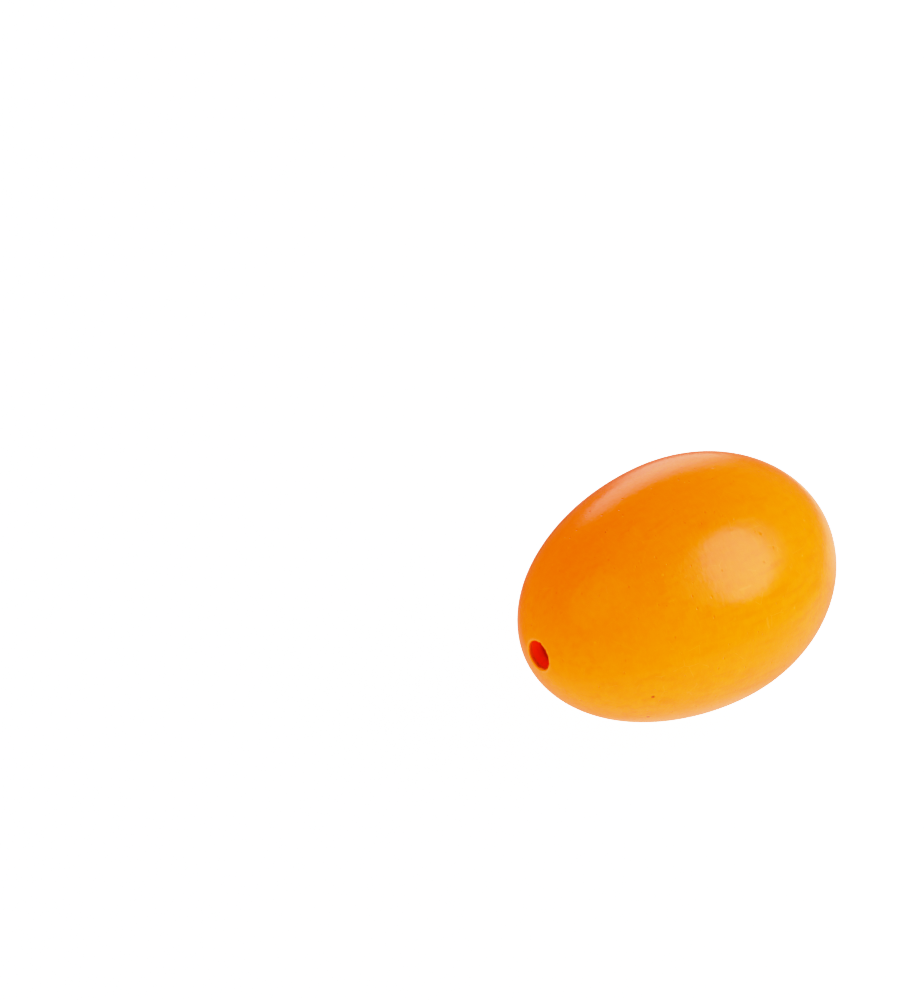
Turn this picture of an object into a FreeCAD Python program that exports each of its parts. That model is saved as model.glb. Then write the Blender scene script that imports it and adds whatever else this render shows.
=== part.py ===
import FreeCAD, Part
import math
import os

# Egg shaker: a hollow wooden egg, turned in two halves that are glued at the widest section.
# Loose steel shot rattles inside. It goes in through a hole in the narrow end, which a peg
# closes. The hole's outer end is a little wider: a shallow recess for the spindle that holds
# the egg while it is lacquered.
# The egg lies on its side, its long axis level along X and its narrow end at -X. The origin
# is under the middle of its outline, on the surface that it rests on, with +Z up. Millimetres.

# Outside: two half ellipses, turned about the long axis.
EGG_LENGTH = 60.0
EGG_DIAMETER = 43.0
BROAD_REACH = 27.0  # from the widest section to the broad end
NARROW_REACH = EGG_LENGTH - BROAD_REACH
WIDEST_X = EGG_LENGTH / 2 - BROAD_REACH
EGG_RADIUS = EGG_DIAMETER / 2
AXIS_Z = EGG_RADIUS

# Chamber: the same kind of outline, drawn in by the walls.
SIDE_WALL = 6.0
END_WALL = 8.0
CHAMBER_RADIUS = EGG_RADIUS - SIDE_WALL
CHAMBER_BROAD_REACH = BROAD_REACH - END_WALL
CHAMBER_NARROW_REACH = NARROW_REACH - END_WALL

# Glue joint: a spigot on the narrow half, in a socket in the broad half.
SPIGOT_RADIUS = CHAMBER_RADIUS + SIDE_WALL / 2
SPIGOT_LENGTH = 4.0
SPIGOT_CHAMFER = 0.4
GLUE_GAP = 0.1  # all round the spigot
SOCKET_SPARE = 0.2  # left past the spigot's end

# Narrow end: the filling hole, its peg and the spindle recess over them.
FILLING_HOLE_RADIUS = 2.25
PLUG_LENGTH = 5.0
PLUG_CHAMFER = 0.3
RECESS_RADIUS = 2.5
RECESS_DEPTH = 3.2  # of its floor, below the tip of the outline
RECESS_FLOOR_X = WIDEST_X - NARROW_REACH + RECESS_DEPTH
LIP_RADIUS = 0.4

# Steel shot: a single layer on the chamber's floor, in staggered rows along X.
SHOT_RADIUS = 2.0
SHOT_PITCH = 4.25
SHOT_CLEARANCE = 0.15  # between a shot and the chamber's wall
SHOT_ROW_COUNTS = (4, 5, 6, 5, 4)


def point(x, radius):
    """A point of a profile, which is drawn above the long axis."""
    return FreeCAD.Vector(x, 0, AXIS_Z + radius)


def arc(start_x, end_x, reach, radius):
    """The half ellipse of this reach and radius, from one x to another."""
    curve = Part.Ellipse(point(WIDEST_X + reach, 0), point(WIDEST_X, radius), point(WIDEST_X, 0))
    turns = sorted(math.acos((x - WIDEST_X) / reach) for x in (start_x, end_x))
    return Part.ArcOfEllipse(curve, *turns).toShape()


def radius_at(x, reach, radius):
    """The radius of that half ellipse at x."""
    return radius * math.sqrt(1 - ((x - WIDEST_X) / reach) ** 2)


def straight(*corners):
    """The straight stretches of a profile through these (x, radius) corners."""
    points = [point(*corner) for corner in corners]
    return [Part.LineSegment(a, b).toShape() for a, b in zip(points, points[1:])]


def turned(edges):
    """The solid that a closed profile makes when it is turned about the long axis."""
    profile = Part.Face(Part.Wire(Part.__sortEdges__(edges)))
    return profile.revolve(point(0, 0), FreeCAD.Vector(1, 0, 0), 360)


def broad_half_shell():
    """The broad half: a closed cup with the joint's socket in its rim."""
    tip = WIDEST_X + BROAD_REACH
    chamber_tip = WIDEST_X + CHAMBER_BROAD_REACH
    socket_floor = WIDEST_X + SPIGOT_LENGTH + SOCKET_SPARE
    socket_radius = SPIGOT_RADIUS + GLUE_GAP
    wall_start = radius_at(socket_floor, CHAMBER_BROAD_REACH, CHAMBER_RADIUS)
    return turned(
        [
            arc(WIDEST_X, tip, BROAD_REACH, EGG_RADIUS),
            *straight((tip, 0), (chamber_tip, 0)),
            arc(socket_floor, chamber_tip, CHAMBER_BROAD_REACH, CHAMBER_RADIUS),
            *straight(
                (socket_floor, wall_start),
                (socket_floor, socket_radius),
                (WIDEST_X, socket_radius),
                (WIDEST_X, EGG_RADIUS),
            ),
        ]
    )


def narrow_half_shell():
    """The narrow half: a cup with the joint's spigot on its rim and the filling hole in its end."""
    mouth = WIDEST_X - NARROW_REACH * math.sqrt(1 - (RECESS_RADIUS / EGG_RADIUS) ** 2)
    hole_share = FILLING_HOLE_RADIUS / CHAMBER_RADIUS
    inner_mouth = WIDEST_X - CHAMBER_NARROW_REACH * math.sqrt(1 - hole_share**2)
    spigot_end = WIDEST_X + SPIGOT_LENGTH
    shell = turned(
        [
            arc(WIDEST_X, mouth, NARROW_REACH, EGG_RADIUS),
            *straight(
                (mouth, RECESS_RADIUS),
                (RECESS_FLOOR_X, RECESS_RADIUS),
                (RECESS_FLOOR_X, FILLING_HOLE_RADIUS),
                (inner_mouth, FILLING_HOLE_RADIUS),
            ),
            arc(WIDEST_X, inner_mouth, CHAMBER_NARROW_REACH, CHAMBER_RADIUS),
            *straight(
                (WIDEST_X, CHAMBER_RADIUS),
                (spigot_end, CHAMBER_RADIUS),
                (spigot_end, SPIGOT_RADIUS - SPIGOT_CHAMFER),
                (spigot_end - SPIGOT_CHAMFER, SPIGOT_RADIUS),
                (WIDEST_X, SPIGOT_RADIUS),
                (WIDEST_X, EGG_RADIUS),
            ),
        ]
    )
    lip = [edge for edge in shell.Edges if edge.BoundBox.XMax < mouth + LIP_RADIUS / 2]
    return shell.makeFillet(LIP_RADIUS, lip).Solids[0]


def filling_plug():
    """The peg that closes the filling hole, flush with the recess's floor."""
    inner_face = RECESS_FLOOR_X + PLUG_LENGTH
    return turned(
        straight(
            (RECESS_FLOOR_X, 0),
            (RECESS_FLOOR_X, FILLING_HOLE_RADIUS),
            (inner_face - PLUG_CHAMFER, FILLING_HOLE_RADIUS),
            (inner_face, FILLING_HOLE_RADIUS - PLUG_CHAMFER),
            (inner_face, 0),
            (RECESS_FLOOR_X, 0),
        )
    )


def shot_reach(x):
    """How far from the long axis a shot's centre may be at x, clear of the chamber's wall."""
    inset = SHOT_RADIUS + SHOT_CLEARANCE
    side = 1 if x > WIDEST_X else -1
    reach = CHAMBER_BROAD_REACH if side > 0 else CHAMBER_NARROW_REACH
    low, high = 0.0, math.pi / 2
    for _ in range(50):
        turn = (low + high) / 2
        slope = math.hypot(CHAMBER_RADIUS * math.sin(turn), reach * math.cos(turn))
        along = reach * math.sin(turn) - inset * CHAMBER_RADIUS * math.sin(turn) / slope
        if along < abs(x - WIDEST_X):
            low = turn
        else:
            high = turn
    return CHAMBER_RADIUS * math.cos(turn) - inset * reach * math.cos(turn) / slope


def shot_places():
    """Each shot's place on the chamber's floor, and how far it can rise to the ceiling."""
    places = []
    for row, count in enumerate(SHOT_ROW_COUNTS):
        y = (row - (len(SHOT_ROW_COUNTS) - 1) / 2) * SHOT_PITCH * math.sin(math.radians(60))
        for place in range(count):
            x = WIDEST_X + (place - (count - 1) / 2) * SHOT_PITCH
            drop = math.sqrt(shot_reach(x) ** 2 - y**2)
            places.append((FreeCAD.Vector(x, y, AXIS_Z - drop), 2 * drop))
    return places


def main():
    """Writes one STEP file for each piece."""
    pieces = {
        "broad_half_shell": broad_half_shell(),
        "narrow_half_shell": narrow_half_shell(),
        "filling_plug": filling_plug(),
    }
    for number, (centre, _) in enumerate(shot_places(), 1):
        pieces[f"shot_{number:02d}"] = Part.makeSphere(SHOT_RADIUS, centre)
    os.makedirs("parts", exist_ok=True)
    for name, shape in pieces.items():
        shape.exportStep(f"parts/{name}.step")
        print(name, "valid" if shape.isValid() else "NOT VALID", round(shape.Volume, 1))


main()
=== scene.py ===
import math

import bpy
import numpy as np
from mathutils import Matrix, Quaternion, Vector, noise


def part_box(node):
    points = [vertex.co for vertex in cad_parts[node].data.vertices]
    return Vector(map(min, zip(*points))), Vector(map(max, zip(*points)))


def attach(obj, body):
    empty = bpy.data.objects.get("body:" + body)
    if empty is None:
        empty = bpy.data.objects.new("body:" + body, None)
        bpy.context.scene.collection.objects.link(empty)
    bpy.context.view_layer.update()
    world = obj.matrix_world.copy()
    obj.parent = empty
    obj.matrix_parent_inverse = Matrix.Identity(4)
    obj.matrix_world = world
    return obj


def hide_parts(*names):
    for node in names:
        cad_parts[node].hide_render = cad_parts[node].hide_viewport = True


# The looks of an egg shaker: a turned wooden egg in two glued halves under orange gloss lacquer,
# with a red-lacquered recess in its narrow end, a peg in the filling hole and steel shot inside.
# Metres, in the CAD frame: the egg lies along X with its narrow end at -X, and +Z is up.

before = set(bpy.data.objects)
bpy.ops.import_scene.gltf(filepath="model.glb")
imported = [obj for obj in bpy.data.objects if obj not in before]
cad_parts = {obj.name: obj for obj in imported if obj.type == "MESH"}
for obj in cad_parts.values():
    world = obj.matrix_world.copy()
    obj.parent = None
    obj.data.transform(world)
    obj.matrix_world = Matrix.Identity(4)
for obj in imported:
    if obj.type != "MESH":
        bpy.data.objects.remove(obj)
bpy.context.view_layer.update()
MM = 0.001

# Outside, read from the frame where it can be.
BROAD_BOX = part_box("broad_half_shell")
PLUG_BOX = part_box("filling_plug")
WIDEST_X = BROAD_BOX[0].x
EGG_RADIUS = (BROAD_BOX[1].z - BROAD_BOX[0].z) / 2
AXIS_Z = (BROAD_BOX[1].z + BROAD_BOX[0].z) / 2
BROAD_REACH = BROAD_BOX[1].x - WIDEST_X
NARROW_REACH = 33 * MM

# Inside, as the shells are turned.
SIDE_WALL = 6 * MM
END_WALL = 8 * MM
CHAMBER_RADIUS = EGG_RADIUS - SIDE_WALL
CHAMBER_BROAD_REACH = BROAD_REACH - END_WALL
CHAMBER_NARROW_REACH = NARROW_REACH - END_WALL
SPIGOT_RADIUS = CHAMBER_RADIUS + SIDE_WALL / 2
SPIGOT_CHAMFER = 0.4 * MM
SPIGOT_END = WIDEST_X + 4 * MM
SOCKET_RADIUS = SPIGOT_RADIUS + 0.1 * MM
SOCKET_FLOOR = SPIGOT_END + 0.2 * MM

# Narrow end: the filling hole, its peg and the recess over them.
HOLE_RADIUS = (PLUG_BOX[1].z - PLUG_BOX[0].z) / 2
RECESS_FLOOR = PLUG_BOX[0].x
PEG_INNER = PLUG_BOX[1].x
PEG_CHAMFER = 0.3 * MM
RECESS_RADIUS = 2.5 * MM
LIP_RADIUS = 0.4 * MM

# Meshes: points round a shell and round the peg, and the ring that lies close to the joint.
SHELL_AROUND = 384
PEG_AROUND = 128
JOINT_RING = 0.03 * MM
ON_AXIS = 0.001 * MM  # a smaller radius is a point on the axis
SHARP_EDGE = 35  # degrees between faces from which an edge shows


# ---------------------------------------------------------------- profiles, as (x, radius) points


def ellipse(reach, radius, start_x, end_x, count):
    """A half ellipse from one x to another, in count points. reach is its length from the widest
    section, and is negative towards -X."""
    turns = [math.acos(min(1.0, (x - WIDEST_X) / reach)) for x in (start_x, end_x)]
    return [
        (WIDEST_X + reach * math.cos(turn), radius * math.sin(turn))
        for turn in np.linspace(*turns, count)
    ]


def line(start, end, count=2):
    """A straight stretch, in count points."""
    return [
        (start[0] + (end[0] - start[0]) * share, start[1] + (end[1] - start[1]) * share)
        for share in np.linspace(0, 1, count)
    ]


def lip(count):
    """The rounded lip of the recess, from the outer surface to the recess's wall, in count points."""
    # Where it meets the outside and the slope there depend on each other, so each is worked out
    # again from the other until they settle.
    turn = 0.0
    for _ in range(20):
        normal = Vector((-math.cos(turn) / NARROW_REACH, math.sin(turn) / EGG_RADIUS)).normalized()
        turn = math.asin((RECESS_RADIUS + LIP_RADIUS * (1 + normal.y)) / EGG_RADIUS)
    centre_x = WIDEST_X - NARROW_REACH * math.cos(turn) - LIP_RADIUS * normal.x
    centre_radius = RECESS_RADIUS + LIP_RADIUS
    return [
        (centre_x + LIP_RADIUS * math.cos(a), centre_radius + LIP_RADIUS * math.sin(a))
        for a in np.linspace(math.atan2(normal.y, normal.x) % (2 * math.pi), 1.5 * math.pi, count)
    ]


# ---------------------------------------------------------------- depths below the true shape
# Each takes a point and the share of its stretch that lies before it.


def wave(point, length):
    """Smooth noise from 0 to 1 with this wavelength."""
    return min(1.0, max(0.0, 0.5 + 0.5 * noise.noise(point / length)))


def sanded(point, share):
    """The outside: long shallow waves from sanding by hand."""
    return 0.035 * MM * wave(point, 9 * MM) + 0.006 * MM * wave(point, 3 * MM)


def chipped(point, share):
    """The lip: small chips, deepest in the middle of its curve."""
    chip = max(0.0, noise.noise(point / (0.9 * MM)) - 0.05)
    return sanded(point, share) * (1 - share) + 0.3 * MM * chip * math.sin(math.pi * share)


def drilled(point, share):
    """The recess's wall: a little uneven under its lacquer."""
    return 0.03 * MM * wave(Vector((point.x * 2, point.y, point.z)), 0.9 * MM)


def cut_end(point, share):
    """The recess's floor and the peg's outer face: end grain, sunk a little here and there."""
    return 0.09 * MM * wave(point, 0.8 * MM)


def turned_inside(point, share):
    """The chamber: faint gouge marks round the axis."""
    return 0.02 * MM * (1 + math.sin(point.x / (0.35 * MM))) + 0.03 * MM * wave(point, 4 * MM)


def true(point, share):
    """A machined fit: no change."""
    return 0.0


# ---------------------------------------------------------------- turned pieces


def rings_of(stretches, closed):
    """(x, radius, share along its stretch, depth function, finish) for each ring of a profile."""
    rings = []
    for finish_name, depth, points in stretches:
        first = 1 if rings else 0
        for i in range(first, len(points)):
            rings.append((*points[i], i / (len(points) - 1), depth, finish_name))
    return rings[:-1] if closed else rings


def turned(name, stretches, finishes, around, closed):
    """A piece turned about the egg's axis. Its profile's stretches each start where the last one
    ends, with the wood on their left, and each has a finish and a depth function."""
    rings = rings_of(stretches, closed)
    turns = np.linspace(0, 2 * math.pi, around, endpoint=False)
    spokes = [(math.cos(a), math.sin(a)) for a in turns]
    points, starts = [], []
    for i, (x, radius, share, depth, _) in enumerate(rings):
        starts.append(len(points))
        before = rings[i - 1] if i or closed else rings[i]
        after = rings[(i + 1) % len(rings)] if i + 1 < len(rings) or closed else rings[i]
        if depth in (sanded, chipped):
            # An end of the outside or of the lip keeps its own slope, whatever comes next.
            before_differs, after_differs = before[3] is not depth, after[3] is not depth
            if before_differs and not after_differs:
                before = rings[i]
            elif after_differs and not before_differs:
                after = rings[i]
        along = Vector((after[0] - before[0], after[1] - before[1])).normalized()
        outwards = Vector((along.y, -along.x))
        if radius < ON_AXIS:
            points.append((x - outwards.x * depth(Vector((x, 0.0, AXIS_Z)), share), 0.0, AXIS_Z))
            continue
        for y, z in spokes:
            at = Vector((x, radius * y, AXIS_Z + radius * z))
            sunk = depth(at, share)
            r = radius - outwards.y * sunk
            points.append((x - outwards.x * sunk, r * y, AXIS_Z + r * z))
    faces, face_finishes = [], []
    count = len(rings)
    for i in range(count if closed else count - 1):
        k = (i + 1) % count
        a, b = starts[i], starts[k]
        # The ring that closes a profile is its first, but the faces up to it have the last finish.
        finish_name = rings[k][4] if k else rings[-1][4]
        for j in range(around):
            m = (j + 1) % around
            if rings[i][1] < ON_AXIS:
                faces.append((a, b + j, b + m))
            elif rings[k][1] < ON_AXIS:
                faces.append((a + j, b, a + m))
            else:
                faces.append((a + j, b + j, b + m, a + m))
            face_finishes.append(finish_name)
    mesh = bpy.data.meshes.new(name)
    mesh.from_pydata(points, [], faces)
    names = list(dict.fromkeys(face_finishes))
    for finish_name in names:
        mesh.materials.append(finishes[finish_name])
    mesh.polygons.foreach_set("material_index", [names.index(f) for f in face_finishes])
    mesh.shade_smooth()
    mesh.set_sharp_from_angle(angle=math.radians(SHARP_EDGE))
    piece = bpy.data.objects.new(name, mesh)
    bpy.context.scene.collection.objects.link(piece)
    return piece


def broad_half(finishes):
    """The blunt half: outside, joint face, socket and its half of the chamber."""
    tip = WIDEST_X + BROAD_REACH
    chamber_tip = WIDEST_X + CHAMBER_BROAD_REACH
    chamber = ellipse(CHAMBER_BROAD_REACH, CHAMBER_RADIUS, SOCKET_FLOOR, chamber_tip, 40)
    near_joint = WIDEST_X + JOINT_RING
    outside = ellipse(BROAD_REACH, EGG_RADIUS, tip, near_joint, 108)
    outside.append((WIDEST_X, EGG_RADIUS))
    stretches = [
        ("lacquer", sanded, outside),
        ("glued_wood", true, line(outside[-1], (WIDEST_X, SOCKET_RADIUS))),
        ("glued_wood", true, line((WIDEST_X, SOCKET_RADIUS), (SOCKET_FLOOR, SOCKET_RADIUS), 8)),
        ("glued_wood", true, line((SOCKET_FLOOR, SOCKET_RADIUS), chamber[0], 6)),
        ("bare_wood", turned_inside, chamber),
    ]
    return turned("lacquered_broad_half", stretches, finishes, SHELL_AROUND, closed=False)


def narrow_half(finishes):
    """The narrow half: outside, lip, recess, filling hole, its half of the chamber, and spigot."""
    rim = lip(12)
    near_joint = WIDEST_X - JOINT_RING
    outside = [(WIDEST_X, EGG_RADIUS)] + ellipse(-NARROW_REACH, EGG_RADIUS, near_joint, rim[0][0], 112)
    hole_share = HOLE_RADIUS / CHAMBER_RADIUS
    inner_mouth = WIDEST_X - CHAMBER_NARROW_REACH * math.sqrt(1 - hole_share**2)
    chamber = ellipse(-CHAMBER_NARROW_REACH, CHAMBER_RADIUS, inner_mouth, WIDEST_X, 44)
    spigot = [
        (WIDEST_X, CHAMBER_RADIUS),
        (SPIGOT_END, CHAMBER_RADIUS),
        (SPIGOT_END, SPIGOT_RADIUS - SPIGOT_CHAMFER),
        (SPIGOT_END - SPIGOT_CHAMFER, SPIGOT_RADIUS),
        (WIDEST_X, SPIGOT_RADIUS),
        (WIDEST_X, EGG_RADIUS),
    ]
    wall_end = (RECESS_FLOOR, RECESS_RADIUS)
    hole_start = (RECESS_FLOOR, HOLE_RADIUS)
    stretches = [
        ("lacquer", sanded, outside),
        ("lacquer", chipped, rim),
        ("lacquer", drilled, line(rim[-1], wall_end, 14)),
        ("lacquer", cut_end, line(wall_end, hole_start, 3)),
        ("glued_wood", true, line(hole_start, (inner_mouth, HOLE_RADIUS), 8)),
        ("bare_wood", turned_inside, chamber),
        ("bare_wood", true, line(spigot[0], spigot[1], 4)),
        *(("glued_wood", true, line(a, b, 4)) for a, b in zip(spigot[1:], spigot[2:])),
    ]
    return turned("lacquered_narrow_half", stretches, finishes, SHELL_AROUND, closed=True)


def filling_peg(finishes):
    """The peg in the filling hole. Its outer face is the middle of the recess's lacquered floor."""
    side_start = (PEG_INNER - PEG_CHAMFER, HOLE_RADIUS)
    side_end = (RECESS_FLOOR, HOLE_RADIUS)
    face_start = (PEG_INNER, HOLE_RADIUS - PEG_CHAMFER)
    stretches = [
        ("peg_wood", cut_end, line((PEG_INNER, 0), face_start, 16)),
        ("peg_wood", true, line(face_start, side_start, 4)),
        ("peg_wood", true, line(side_start, side_end, 20)),
        ("lacquer", cut_end, line(side_end, (RECESS_FLOOR, 0), 20)),
    ]
    return turned("filling_peg", stretches, finishes, PEG_AROUND, closed=False)


# ---------------------------------------------------------------- finishes


class Nodes:
    """A node tree, with short calls for the nodes that the finishes are made of."""

    def __init__(self, owner):
        owner.use_nodes = True
        self.tree = owner.node_tree
        self.tree.nodes.clear()

    def add(self, kind, inputs, **settings):
        """A node with these inputs, each a value or another node's output."""
        node = self.tree.nodes.new("ShaderNode" + kind)
        for name, value in settings.items():
            setattr(node, name, value)
        for name, value in inputs.items():
            if isinstance(value, bpy.types.NodeSocket):
                self.tree.links.new(value, node.inputs[name])
            else:
                node.inputs[name].default_value = value
        return node

    def math(self, operation, *values):
        return self.add("Math", dict(enumerate(values)), operation=operation).outputs[0]

    def times(self, a, b):
        return self.math("MULTIPLY", a, b)

    def vector(self, operation, *values):
        node = self.add("VectorMath", dict(enumerate(values)), operation=operation)
        return node.outputs["Value" if operation in ("LENGTH", "DISTANCE", "DOT_PRODUCT") else "Vector"]

    def scale(self, vector, by):
        inputs = {"Vector": vector, "Scale": by}
        return self.add("VectorMath", inputs, operation="SCALE").outputs["Vector"]

    def split(self, vector):
        return self.add("SeparateXYZ", {"Vector": vector}).outputs

    def noise(self, vector, detail=2.0):
        """Noise from 0 to 1, with features about one unit of vector across."""
        return self.add("TexNoise", {"Vector": vector, "Scale": 1.0, "Detail": detail}).outputs[0]

    def fade(self, value, start, end, low=0.0, high=1.0):
        """Runs smoothly from low to high as value goes from start to end."""
        inputs = {"Value": value, "From Min": start, "From Max": end, "To Min": low, "To Max": high}
        return self.add("MapRange", inputs, interpolation_type="SMOOTHSTEP").outputs["Result"]

    def blend(self, share, a, b):
        """Colour a, then b as share goes from 0 to 1."""
        return self.add("Mix", {0: share, 6: a, 7: b}, data_type="RGBA").outputs[2]

    def layers(self, base, *coats):
        """A colour under one coat after another, each a share and a colour."""
        for share, coat in coats:
            base = self.blend(share, base, coat)
        return base

    def for_rays(self, kind, value, other):
        """One value for this kind of ray, such as "Camera", and another for the rest."""
        is_kind = self.add("LightPath", {}).outputs[f"Is {kind} Ray"]
        return self.add("Mix", {0: is_kind, 2: other, 3: value}, data_type="FLOAT").outputs[0]

    def total(self, *values):
        """The sum of several values."""
        result = values[0]
        for value in values[1:]:
            result = self.math("ADD", result, value)
        return result

    def weighted(self, *pairs):
        """The sum of several values, each times its weight."""
        return self.total(*(self.times(value, weight) for value, weight in pairs))

    def dots(self, vector, share, radius, seed):
        """1 in small round dots, 0 elsewhere. share is the part of vector's unit cells with a dot."""
        moved = self.vector("ADD", vector, (seed, seed * 1.7, seed * 2.3))
        cell = self.add("TexVoronoi", {"Vector": moved, "Scale": 1.0})
        chance, size, _ = self.split(cell.outputs["Color"])
        kept = self.math("LESS_THAN", chance, share)
        reach = self.times(self.math("ADD", size, 0.4), radius)
        inside = self.math("SUBTRACT", 1.0, self.math("DIVIDE", cell.outputs["Distance"], reach))
        return self.times(self.fade(inside, 0.0, 0.7), kept)

    def across(self, place):
        """The part of a place that leads straight away from the egg's axis."""
        return self.vector("MULTIPLY", place, (0.0, 1.0, 1.0))

    def turning_marks(self, place, round_axis, along_axis):
        """Noise in dashes round the axis. The two numbers say how fine it is each way."""
        spoke = self.scale(self.vector("NORMALIZE", self.across(place)), round_axis)
        along = self.vector("MULTIPLY", place, (along_axis, 0.0, 0.0))
        return self.noise(self.vector("ADD", spoke, along))

    def place(self):
        """The place on the egg in millimetres, from the middle of its widest section."""
        at = self.add("TexCoord", {}).outputs["Object"]
        moved = self.vector("SUBTRACT", at, (WIDEST_X, 0.0, AXIS_Z))
        return self.scale(moved, 1 / MM)

    def bump(self, height):
        """The normal of a surface with this height in millimetres."""
        return self.add("Bump", {"Strength": 1.0, "Distance": MM, "Height": height}).outputs["Normal"]

    def surface(self, **inputs):
        """The material's one shader. Names are the shader's, with _ for a space."""
        sockets = {name.replace("_", " "): value for name, value in inputs.items()}
        shader = self.add("BsdfPrincipled", sockets)
        self.add("OutputMaterial", {"Surface": shader.outputs[0]})


def colour(red, green, blue):
    """An opaque colour."""
    return (red, green, blue, 1.0)


# Two dark specks low on the egg, in millimetres from the middle of its widest section.
LOW_SPECKS = ((-21.07, -15.87, -4.69), (-19.77, -13.17, -11.09))


def lacquer():
    """Orange gloss lacquer over turned wood, and red inside the recess."""
    material = bpy.data.materials.new("lacquer")
    n = Nodes(material)
    place = n.place()
    x = n.split(place)[0]
    from_axis = n.vector("LENGTH", n.across(place))
    # The same, but large away from the narrow end, so that the recess's red stays in the recess.
    beyond = n.total(from_axis, n.fade(x, -25.0, -20.0, 0.0, 10.0))
    # The recess's wall and floor, in millimetres like place.
    wall, floor = RECESS_RADIUS / MM, (RECESS_FLOOR - WIDEST_X) / MM

    # Marks of the making: dashes round the axis from turning, lines along it from the grain, and
    # orange peel from spraying.
    turning = n.turning_marks(place, 13.0, 2.6)
    grain = n.noise(n.vector("MULTIPLY", place, (0.13, 0.9, 0.9)), detail=4.0)
    peel = n.noise(place, detail=1.0)
    fine_peel = n.noise(n.scale(place, 2.4))
    mottle = n.noise(n.scale(place, 0.8), detail=3.0)
    blotch = n.noise(n.scale(place, 0.13))

    # Faults: pits, dust nibs, dark specks and a few short scratches.
    pits = n.dots(n.vector("MULTIPLY", place, (0.9, 0.6, 0.6)), share=0.55, radius=0.16, seed=3.0)
    nibs = n.dots(n.scale(place, 0.42), share=0.50, radius=0.11, seed=11.0)
    specks = n.dots(n.scale(place, 0.16), share=0.35, radius=0.032, seed=29.0)
    cells = {"Vector": n.scale(place, 0.17), "Scale": 1.0}
    edge = n.add("TexVoronoi", cells, feature="DISTANCE_TO_EDGE").outputs["Distance"]
    patchy = n.fade(n.noise(n.scale(place, 0.45), detail=1.0), 0.54, 0.58)
    scratches = n.times(n.fade(edge, 0.012, 0.002), patchy)

    # The outside, in orange, with a painted highlight in paler orange on the lip.
    speck_colour = colour(0.06, 0.04, 0.01)
    streaks = n.times(n.fade(grain, 0.45, 0.70), n.fade(blotch, 0.40, 0.60, 0.15, 0.45))
    low_specks = (
        (n.fade(n.vector("DISTANCE", place, spot), 0.40, 0.18, 0.0, 0.9), speck_colour)
        for spot in LOW_SPECKS
    )
    # A band round the recess's lip: the rounded lip's painted highlight, in paler orange.
    rim = n.times(n.fade(beyond, wall + 0.15, wall + 0.3), n.fade(beyond, wall + 0.9, wall + 0.4))
    orange = n.layers(
        n.blend(blotch, colour(0.94, 0.262, 0.0040), colour(0.96, 0.298, 0.0046)),
        (n.fade(mottle, 0.35, 0.65, 0.0, 0.3), colour(0.92, 0.225, 0.003)),
        (n.fade(turning, 0.45, 0.7, 0.0, 0.25), colour(0.98, 0.340, 0.007)),
        (streaks, colour(0.84, 0.200, 0.003)),
        (n.times(pits, 0.25), colour(0.50, 0.10, 0.002)),
        (n.times(nibs, 0.6), colour(1.0, 0.40, 0.05)),
        (n.times(specks, 0.9), speck_colour),
        *low_specks,
        (n.times(scratches, 0.45), colour(1.0, 0.38, 0.05)),
        # painted highlight on the lip
        (n.times(rim, 0.6), colour(1.0, 0.36, 0.06)),
    )

    # The recess: wet red, deeper on its floor, and brown where the two colours meet at its mouth.
    red = n.layers(
        n.blend(n.noise(n.scale(place, 1.3)), colour(0.86, 0.028, 0.055), colour(0.93, 0.044, 0.085)),
        (n.fade(x, floor - 0.8, floor - 0.1, 0.0, 0.7), colour(0.45, 0.008, 0.012)),
    )
    brown = colour(0.50, 0.060, 0.003)
    inside = n.blend(n.fade(x, floor - 1.9, floor - 2.4, 0.0, 0.9), red, brown)
    coats = n.blend(n.fade(beyond, wall + 0.08, wall + 0.18), inside, orange)

    normal = n.bump(n.weighted(
        (peel, 0.030), (fine_peel, 0.014), (turning, 0.012), (grain, 0.016),
        (pits, -0.06), (nibs, 0.03), (scratches, -0.004),
    ))
    rough = n.total(n.fade(fine_peel, 0.3, 0.7, 0.34, 0.44), n.times(scratches, 0.25))
    n.surface(
        Base_Color=coats, Roughness=rough, Specular_IOR_Level=0.2, Normal=normal,
        Coat_Weight=1.0, Coat_Roughness=0.16, Coat_IOR=1.5, Coat_Normal=normal,
    )
    return material


def wood(name, early, late, ray, rough_from, stain=0.0):
    """Turned beech: growth lines along X, short ray flecks, turning marks, and glue stain if any.
    The grain's colours are the early wood's, the late wood's and the rays'."""
    material = bpy.data.materials.new(name)
    n = Nodes(material)
    place = n.place()
    swirl = n.add("TexNoise", {"Vector": n.scale(place, 0.08), "Scale": 1.0}).outputs["Color"]
    bent = n.vector("ADD", place, n.scale(swirl, 2.0))
    lines = n.noise(n.vector("MULTIPLY", bent, (0.05, 0.9, 1.4)), detail=3.0)
    pores = n.noise(n.vector("MULTIPLY", place, (0.8, 9.0, 9.0)))
    rays = n.noise(n.vector("MULTIPLY", place, (0.7, 5.0, 2.0)), detail=1.0)
    flecks = n.fade(rays, 0.62, 0.7)
    glue = n.fade(n.noise(n.scale(place, 0.35)), 0.42, 0.6, 0.0, stain)
    tone = n.layers(
        n.blend(n.fade(lines, 0.35, 0.68), early, late),
        (n.times(flecks, 0.55), ray),
        (n.fade(pores, 0.58, 0.75, 0.0, 0.35), colour(0.20, 0.10, 0.05)),
        (glue, colour(0.62, 0.42, 0.17)),
    )
    marks = n.turning_marks(place, 6.0, 3.5)
    normal = n.bump(n.weighted((lines, 0.03), (pores, 0.02), (marks, 0.02)))
    rough = n.total(n.fade(pores, 0.3, 0.7, rough_from, rough_from + 0.18), n.times(glue, -0.3))
    n.surface(Base_Color=tone, Roughness=rough, Specular_IOR_Level=0.35, Normal=normal)
    return material


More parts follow.
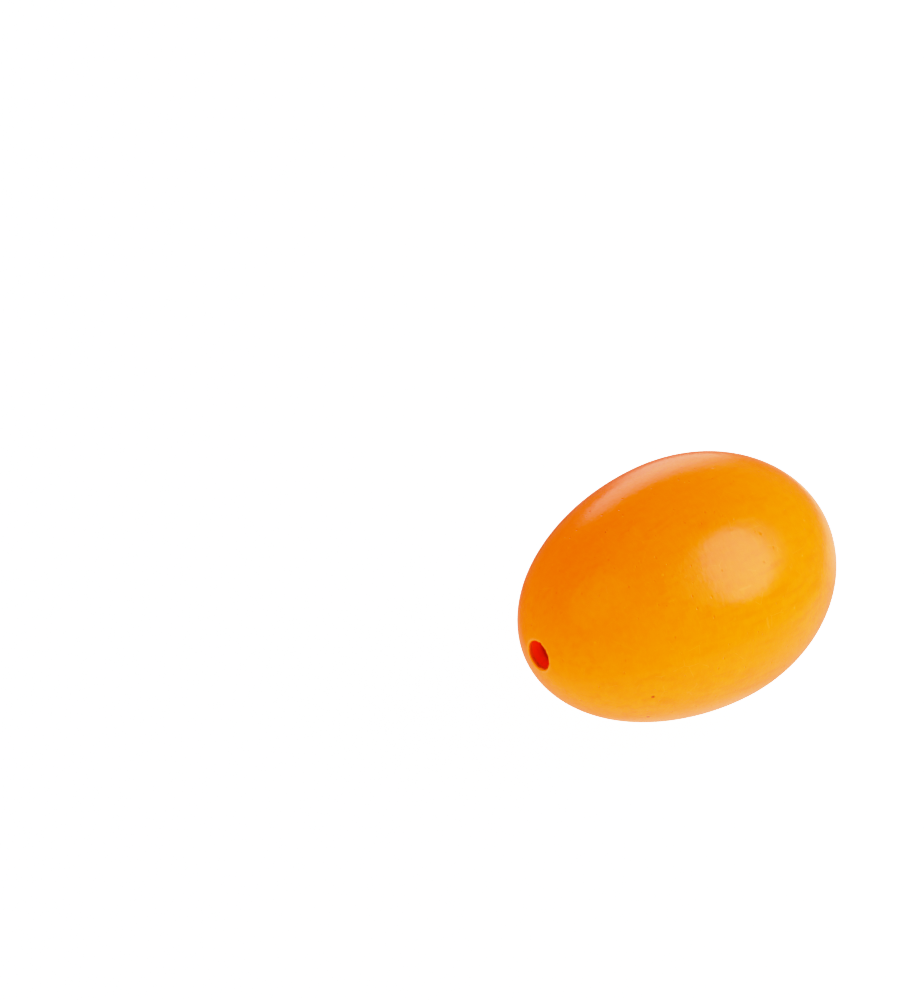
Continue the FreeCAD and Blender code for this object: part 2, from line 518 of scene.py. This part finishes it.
def steel():
    """Ball-bearing steel: polished, with small dents, scuffs and a trace of wood dust."""
    material = bpy.data.materials.new("steel")
    n = Nodes(material)
    place = n.place()
    scuffs = n.noise(n.vector("MULTIPLY", place, (9.0, 2.0, 5.0)), detail=3.0)
    dents = n.dots(n.scale(place, 1.6), share=0.5, radius=0.22, seed=5.0)
    dust = n.fade(n.noise(n.scale(place, 0.9), detail=3.0), 0.55, 0.75, 0.0, 0.3)
    tone = n.blend(scuffs, colour(0.50, 0.51, 0.52), colour(0.66, 0.66, 0.65))
    tone = n.blend(dust, tone, colour(0.55, 0.42, 0.29))
    normal = n.bump(n.weighted((scuffs, 0.004), (dents, -0.015)))
    rough = n.total(n.fade(scuffs, 0.35, 0.7, 0.12, 0.3), dust)
    metal = n.math("SUBTRACT", 1.0, dust)
    n.surface(Base_Color=tone, Metallic=metal, Roughness=rough, Normal=normal)
    return material


def all_finishes():
    """The finishes by name. The wood is bare in the chamber, has glue on it in the joint and is
    paler in the peg."""
    return {
        "lacquer": lacquer(),
        "bare_wood": wood(
            "bare_wood", early=colour(0.66, 0.44, 0.27), late=colour(0.52, 0.31, 0.17),
            ray=colour(0.42, 0.22, 0.11), rough_from=0.55,
        ),
        "glued_wood": wood(
            "glued_wood", early=colour(0.62, 0.42, 0.25), late=colour(0.50, 0.30, 0.17),
            ray=colour(0.42, 0.22, 0.11), rough_from=0.5, stain=0.75,
        ),
        "peg_wood": wood(
            "peg_wood", early=colour(0.72, 0.52, 0.33), late=colour(0.58, 0.38, 0.22),
            ray=colour(0.45, 0.26, 0.14), rough_from=0.5, stain=0.35,
        ),
    }


# ---------------------------------------------------------------- studio

WHITE = 2.3  # over-exposed white: the least light that the film shows as pure white
FLOOR_REACH = 6.0  # from the egg to the middle of each of the floor's sides
LIGHT_DISTANCE = 0.5  # from the egg's middle
WALL_AZIMUTH = 152  # from the egg to the lit wall
WALL_FOOT_AZIMUTH = 144  # from the egg to the brightest part of the floor before the wall

# Bright patches of the floor in the egg's gloss: middle, radius of the full glow, radius of the
# whole patch, and glow. One lies round the egg, one under it and one to its right.
FLOOR_PATCHES = (
    ((0.01, -0.01, 0.0), 0.045, 0.075, 0.26),
    ((0.0, 0.0, 0.0), 0.014, 0.026, 0.42),
    ((0.08, 0.02, 0.0), 0.02, 0.06, 0.5),
)


def direction(azimuth, elevation):
    """A unit vector. Azimuth 0 is towards -Y and 90 towards +X, in degrees."""
    a, e = math.radians(azimuth), math.radians(elevation)
    return Vector((math.sin(a) * math.cos(e), -math.cos(a) * math.cos(e), math.sin(e)))


def white_floor():
    """A plain white floor, over-exposed. It lights the egg from below. The egg's gloss shows it
    brightest close by, to the right, and where it meets the lit wall."""
    mesh = bpy.data.meshes.new("floor")
    side = FLOOR_REACH
    corners = [(-side, -side, 0), (side, -side, 0), (side, side, 0), (-side, side, 0)]
    mesh.from_pydata(corners, [], [(0, 1, 2, 3)])
    floor = bpy.data.objects.new("floor", mesh)
    bpy.context.scene.collection.objects.link(floor)
    material = bpy.data.materials.new("white_floor")
    n = Nodes(material)
    at = n.add("TexCoord", {}).outputs["Object"]
    towards_foot = tuple(direction(WALL_FOOT_AZIMUTH, 0))
    ahead = n.vector("DOT_PRODUCT", n.vector("NORMALIZE", at), towards_foot)
    away = n.vector("LENGTH", at)
    in_gloss = n.times(n.fade(ahead, 0.972, 0.998, 0.0, 0.75), n.fade(away, 0.14, 0.24))
    for middle, full, end, patch_glow in FLOOR_PATCHES:
        patch = n.fade(n.vector("DISTANCE", at, middle), full, end, patch_glow, 0.0)
        in_gloss = n.math("MAXIMUM", in_gloss, patch)
    glow = n.for_rays("Glossy", in_gloss, 1.6)
    glow = n.for_rays("Camera", WHITE - 0.1, glow)  # the lights add the rest
    n.surface(
        Base_Color=colour(0.18, 0.18, 0.18), Roughness=1.0, Specular_IOR_Level=0.0,
        Emission_Color=colour(1, 1, 1), Emission_Strength=glow,
    )
    mesh.materials.append(material)


def studio_world():
    """A dim room with a lit white wall behind the egg. The camera itself sees plain white."""
    world = bpy.data.worlds.new("studio")
    n = Nodes(world)
    towards = n.add("TexCoord", {}).outputs["Generated"]
    height = n.split(towards)[2]
    # The wall's sides are upright. Its lower and upper edges climb to one side, and all are soft.
    aside = n.vector("DOT_PRODUCT", towards, tuple(direction(WALL_AZIMUTH + 90, 0)))
    above_foot = n.math("SUBTRACT", height, n.times(aside, 0.9))
    above_top = n.math("SUBTRACT", height, n.times(aside, 0.2))
    wide = n.times(n.fade(aside, -0.42, -0.06), n.fade(aside, 0.42, 0.20))
    high = n.times(n.fade(above_foot, -0.18, 0.0), n.fade(above_top, 0.52, 0.26))
    ahead = n.vector("DOT_PRODUCT", towards, tuple(direction(WALL_AZIMUTH, 0)))
    facing = n.fade(ahead, 0.0, 0.1)
    wall = n.times(n.times(wide, high), facing)
    room = n.for_rays("Glossy", 0.17, 0.3)
    strength = n.for_rays("Camera", WHITE, n.total(n.times(wall, 1.03), room))
    background = n.add("Background", {"Color": colour(1, 1, 1), "Strength": strength})
    n.add("OutputWorld", {"Surface": background.outputs[0]})
    bpy.context.scene.world = world


def softbox(name, azimuth, elevation, width, height, radiance, lean=0.0, glossy=True):
    """A soft oval light aimed at the egg's middle. The camera doesn't see it, and the egg's gloss
    shows it only where glossy says so."""
    light = bpy.data.lights.new(name, "AREA")
    light.shape = "ELLIPSE"
    light.size, light.size_y = width, height
    area = math.pi / 4 * width * height
    light.energy = radiance * math.pi * area
    box = bpy.data.objects.new(name, light)
    bpy.context.scene.collection.objects.link(box)
    away = direction(azimuth, elevation)
    box.location = Vector((0, 0, AXIS_Z)) + away * LIGHT_DISTANCE
    box.rotation_mode = "QUATERNION"
    leaning = Quaternion((0, 0, 1), math.radians(lean))
    box.rotation_quaternion = away.to_track_quat("Z", "Y") @ leaning
    box.visible_camera = False
    box.visible_glossy = glossy


def softboxes():
    """The key light with a brighter middle and its spill, two at the right that only lighten the
    orange, and a weak fill at the left."""
    softbox("key", 33, 36, 0.30, 0.56, 1.6, lean=-15)
    softbox("key_middle", 33, 36, 0.22, 0.43, 1.2, lean=-15)
    softbox("spill", 32, 38, 0.62, 0.62, 0.65)
    softbox("side", 62, 30, 0.5, 0.5, 1.7, glossy=False)
    softbox("back", 125, 14, 0.5, 0.3, 1.9, glossy=False)
    softbox("fill", -86, 44, 0.44, 0.44, 0.6)


def camera():
    """A long lens, held level, above the egg and on the side of its narrow end. The egg is right
    of the middle of the view and below it."""
    azimuth, elevation, distance = -38.4, 35.5, 1.093
    egg_right, egg_below = 35.94 * MM, 15.07 * MM
    lens = bpy.data.cameras.new("camera")
    lens.sensor_width = 36.0
    lens.lens = 234.0
    view = bpy.data.objects.new("camera", lens)
    bpy.context.scene.collection.objects.link(view)
    back, right = direction(azimuth, elevation), direction(azimuth + 90, 0)
    aim = Vector((0, 0, AXIS_Z)) - right * egg_right + back.cross(right) * egg_below
    view.location = aim + back * distance
    view.rotation_mode = "QUATERNION"
    view.rotation_quaternion = back.to_track_quat("Z", "Y")
    bpy.context.scene.camera = view


def film():
    """How a vivid film answers light: reds come up early, a little blue is lost, whites have a
    long shoulder."""
    red = (
        (0.2, 0.42), (0.34, 0.72), (0.49, 0.84), (0.68, 0.87), (1.03, 0.91), (1.42, 0.96),
        (1.8, 0.98),
    )
    green = ((0.3, 0.3), (0.6, 0.6), (0.9, 0.82), (1.3, 0.92), (1.8, 0.965))
    blue = (
        (0.05, 0.001), (0.1, 0.05), (0.35, 0.30), (0.6, 0.54), (0.9, 0.79), (1.3, 0.91),
        (1.8, 0.965),
    )
    settings = bpy.context.scene.view_settings
    settings.view_transform = "Standard"
    settings.use_curve_mapping = True
    mapping = settings.curve_mapping
    mapping.white_level = (WHITE, WHITE, WHITE)
    for curve, stops in zip(mapping.curves, (red, green, blue)):
        for light, value in stops:
            curve.points.new(light / WHITE, value)
    mapping.update()


def main():
    finishes = all_finishes()
    pieces = (
        (broad_half(finishes), "broad_half_shell", "lacquered_wood"),
        (narrow_half(finishes), "narrow_half_shell", "lacquered_wood"),
        (filling_peg(finishes), "filling_plug", "peg_wood"),
    )
    for piece, node, slot in pieces:
        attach(piece, "shell")
        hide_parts(node)
    shot_finish = steel()
    for name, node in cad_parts.items():
        if name.startswith("shot_"):
            for slot in node.material_slots:
                slot.material = shot_finish
    white_floor()
    studio_world()
    softboxes()
    camera()
    film()


main()
